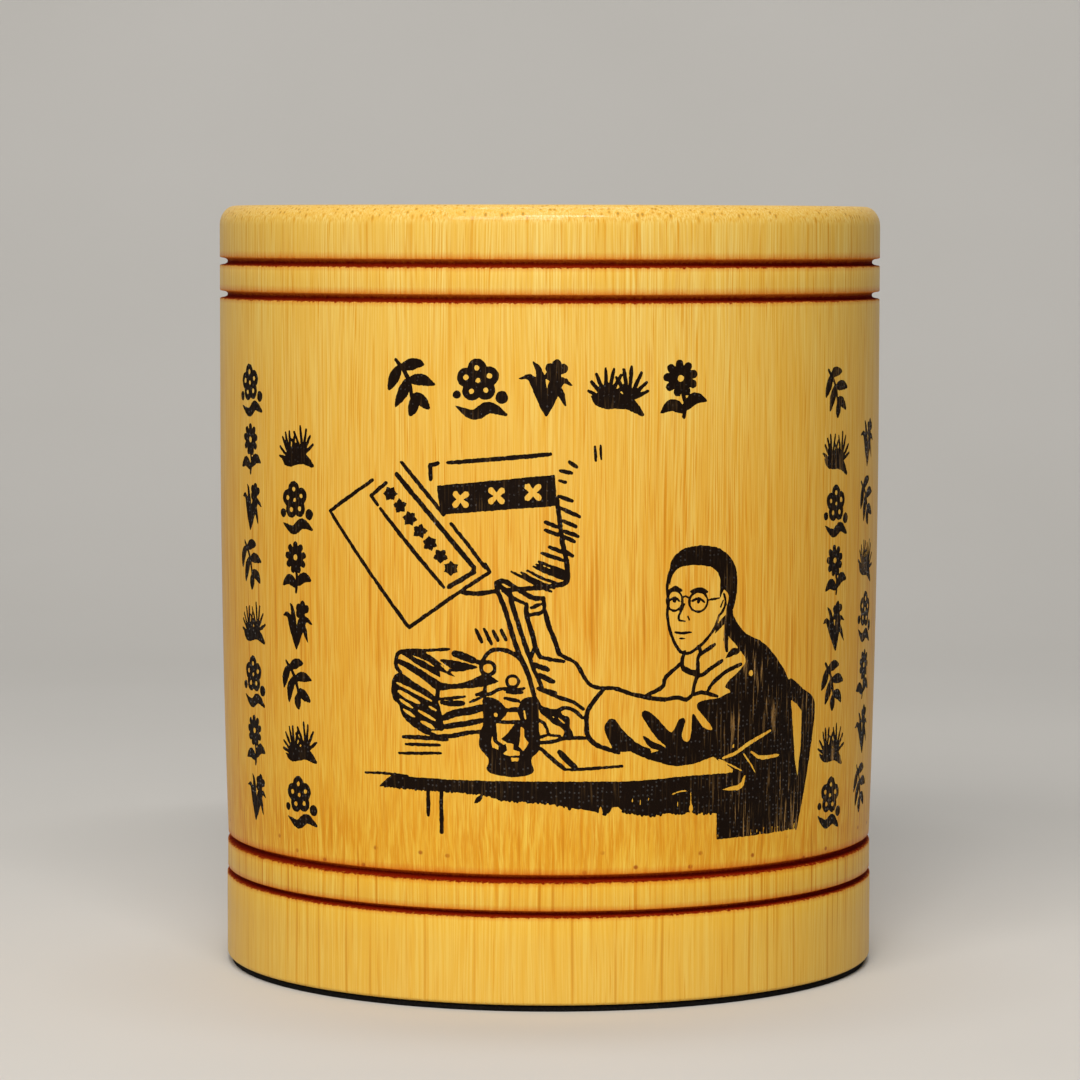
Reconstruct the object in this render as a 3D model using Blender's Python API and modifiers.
"""Bamboo brush pot: a turned culm, a floor board glued up into a rebate in its foot, and a pad under both.

The origin is on the table at the pot's centre, +Z is up, and the decorated front faces -Y.
"""

import math

import bpy

MM = 0.001

# Driving dimensions
HEIGHT = 120.0 * MM
RIM_RADIUS = 52.35 * MM
WAIST_RADIUS = 51.25 * MM  # the culm draws in towards its node, then swells a little to the foot
BAND_RADIUS = 51.35 * MM
FOOT_RADIUS = 51.45 * MM
BORE_RADIUS = 43.5 * MM
PAD_THICKNESS = 0.7 * MM
BOARD_THICKNESS = 5.0 * MM
GLUE_GAP = 0.3 * MM

# Turned edges
SHOULDER_WIDTH = 2.5 * MM
SHOULDER_DROP = 3.1 * MM
MOUTH_ROUNDING = 1.6 * MM
FOOT_ROUNDING = 0.6 * MM
BOARD_CHAMFER = 0.5 * MM
TAPER_TOP = 88.0 * MM  # the wall is straight above this height
REBATE_RADIUS = 46.8 * MM
PAD_RADIUS = 50.8 * MM

# Turned grooves: a flank drops to the shelf's share of the depth, then curves under to the bottom
TOP_GROOVES = (111.3 * MM, 106.1 * MM)
FOOT_GROOVES = (20.0 * MM, 14.7 * MM)
GROOVE_WIDTH = 1.2 * MM
LOWEST_GROOVE_WIDTH = 1.0 * MM
GROOVE_DEPTH = 1.3 * MM
SHELF_DEPTH = 0.75 * GROOVE_DEPTH

# The ring inside the bore where the node's own partition was cut away
NODE_Z = 20.0 * MM
STUB_DEPTH = 0.9 * MM
STUB_HALF_HEIGHT = 1.0 * MM
STUB_ROOT_HALF_HEIGHT = 2.5 * MM

FOOT_Z = PAD_THICKNESS + GLUE_GAP
BOARD_Z = FOOT_Z
REBATE_TOP = BOARD_Z + BOARD_THICKNESS + GLUE_GAP

# How finely the curves are divided
TURN_STEPS = 72
SHOULDER_STEPS = 6
MOUTH_STEPS = 4
FOOT_STEPS = 3
TAPER_RINGS = 7
MERGE = 0.00001

# Colour and roughness of each piece
BAMBOO = ((0.83, 0.52, 0.16), 0.4)
BOARD = ((0.66, 0.42, 0.17), 0.6)
PAD = ((0.012, 0.011, 0.01), 0.9)


def culm_radius(z):
    """Outer radius of the wall at a height, leaving out the grooves and the rounded edges."""
    if z < FOOT_GROOVES[1]:
        return FOOT_RADIUS
    if z < FOOT_GROOVES[0]:
        return BAND_RADIUS
    rise = min(1.0, (z - FOOT_GROOVES[0]) / (TAPER_TOP - FOOT_GROOVES[0]))
    return WAIST_RADIUS + (RIM_RADIUS - WAIST_RADIUS) * (1.0 - (1.0 - rise) ** 2)


def arc(centre, width, height, start, end, steps):
    """Points (radius, height) on a quarter ellipse, from one angle to another in degrees."""
    points = []
    for i in range(steps + 1):
        angle = math.radians(start + (end - start) * i / steps)
        points.append((centre[0] + width * math.cos(angle), centre[1] + height * math.sin(angle)))
    return points


def groove(z, width=GROOVE_WIDTH):
    """A turned groove with sloping flanks and a rounded bottom, from its upper lip to its lower one."""
    upper_lip = z + width / 2
    lower_lip = z - width / 2
    upper = culm_radius(upper_lip)
    lower = culm_radius(lower_lip)
    return [
        (upper, upper_lip),
        (upper - SHELF_DEPTH, z + width / 4),
        (upper - GROOVE_DEPTH, z),
        (lower - SHELF_DEPTH, z - width / 4),
        (lower, lower_lip),
    ]


def taper():
    """Points down the outer wall between the upper pair of grooves and the lower pair."""
    top = TOP_GROOVES[1] - GROOVE_WIDTH / 2
    bottom = FOOT_GROOVES[0] + GROOVE_WIDTH / 2
    heights = [top + (bottom - top) * (i + 1) / (TAPER_RINGS + 1) for i in range(TAPER_RINGS)]
    return [(culm_radius(z), z) for z in heights]


def node_stub():
    """The low ring inside the bore at the node, from its foot up."""
    return [
        (BORE_RADIUS, NODE_Z - STUB_ROOT_HALF_HEIGHT),
        (BORE_RADIUS - STUB_DEPTH, NODE_Z - STUB_HALF_HEIGHT),
        (BORE_RADIUS - STUB_DEPTH, NODE_Z + STUB_HALF_HEIGHT),
        (BORE_RADIUS, NODE_Z + STUB_ROOT_HALF_HEIGHT),
    ]


def turned(name, profile, closed, finish, collection):
    """An object turned about the Z axis from (radius, height) points that run down its outer side."""
    mesh = bpy.data.meshes.new(name)
    edges = [(i, i + 1) for i in range(len(profile) - 1)]
    if closed:
        edges.append((len(profile) - 1, 0))
    mesh.from_pydata([(radius, 0.0, z) for radius, z in profile], edges, [])
    mesh.materials.append(principled(name, *finish))
    piece = bpy.data.objects.new(name, mesh)
    collection.objects.link(piece)
    screw = piece.modifiers.new("turn", "SCREW")
    screw.axis = "Z"
    screw.angle = 2 * math.pi
    screw.steps = TURN_STEPS
    screw.render_steps = TURN_STEPS
    screw.use_smooth_shade = False
    screw.use_merge_vertices = True
    screw.merge_threshold = MERGE
    return piece


def principled(name, colour, roughness):
    material = bpy.data.materials.new(name)
    material.use_nodes = True
    shader = material.node_tree.nodes["Principled BSDF"]
    shader.inputs["Base Color"].default_value = (*colour, 1.0)
    shader.inputs["Roughness"].default_value = roughness
    shader.inputs["Metallic"].default_value = 0.0
    return material


def culm_wall(collection):
    """The length of culm: rounded rim, two grooves above and two below, the bore, and the foot's rebate."""
    shoulder_centre = (RIM_RADIUS - SHOULDER_WIDTH, HEIGHT - SHOULDER_DROP)
    foot_centre = (FOOT_RADIUS - FOOT_ROUNDING, FOOT_Z + FOOT_ROUNDING)
    mouth_centre = (BORE_RADIUS + MOUTH_ROUNDING, HEIGHT - MOUTH_ROUNDING)
    profile = arc(shoulder_centre, SHOULDER_WIDTH, SHOULDER_DROP, 90, 0, SHOULDER_STEPS)
    profile += [*groove(TOP_GROOVES[0]), *groove(TOP_GROOVES[1]), *taper()]
    profile += [*groove(FOOT_GROOVES[0]), *groove(FOOT_GROOVES[1], LOWEST_GROOVE_WIDTH)]
    profile += arc(foot_centre, FOOT_ROUNDING, FOOT_ROUNDING, 0, -90, FOOT_STEPS)
    profile += [(REBATE_RADIUS, FOOT_Z), (REBATE_RADIUS, REBATE_TOP), (BORE_RADIUS, REBATE_TOP), *node_stub()]
    profile += arc(mouth_centre, MOUTH_ROUNDING, MOUTH_ROUNDING, 180, 90, MOUTH_STEPS)
    return turned("culm_wall", profile, True, BAMBOO, collection)


def floor_board(collection):
    """The round board that makes the floor, set into the rebate and level with the foot."""
    edge = REBATE_RADIUS - GLUE_GAP
    top = BOARD_Z + BOARD_THICKNESS
    profile = [
        (0.0, top),
        (edge - BOARD_CHAMFER, top),
        (edge, top - BOARD_CHAMFER),
        (edge, BOARD_Z),
        (0.0, BOARD_Z),
    ]
    return turned("floor_board", profile, False, BOARD, collection)


def base_pad(collection):
    """The thin black pad stuck under the foot and the board, set in a little from the foot's edge."""
    profile = [(0.0, PAD_THICKNESS), (PAD_RADIUS, PAD_THICKNESS), (PAD_RADIUS, 0.0), (0.0, 0.0)]
    return turned("base_pad", profile, False, PAD, collection)


def main():
    for leftover in list(bpy.data.objects):
        bpy.data.objects.remove(leftover)
    pot = bpy.data.collections.new("bamboo_brush_pot")
    bpy.context.scene.collection.children.link(pot)
    culm_wall(pot)
    floor_board(pot)
    base_pad(pot)


main()
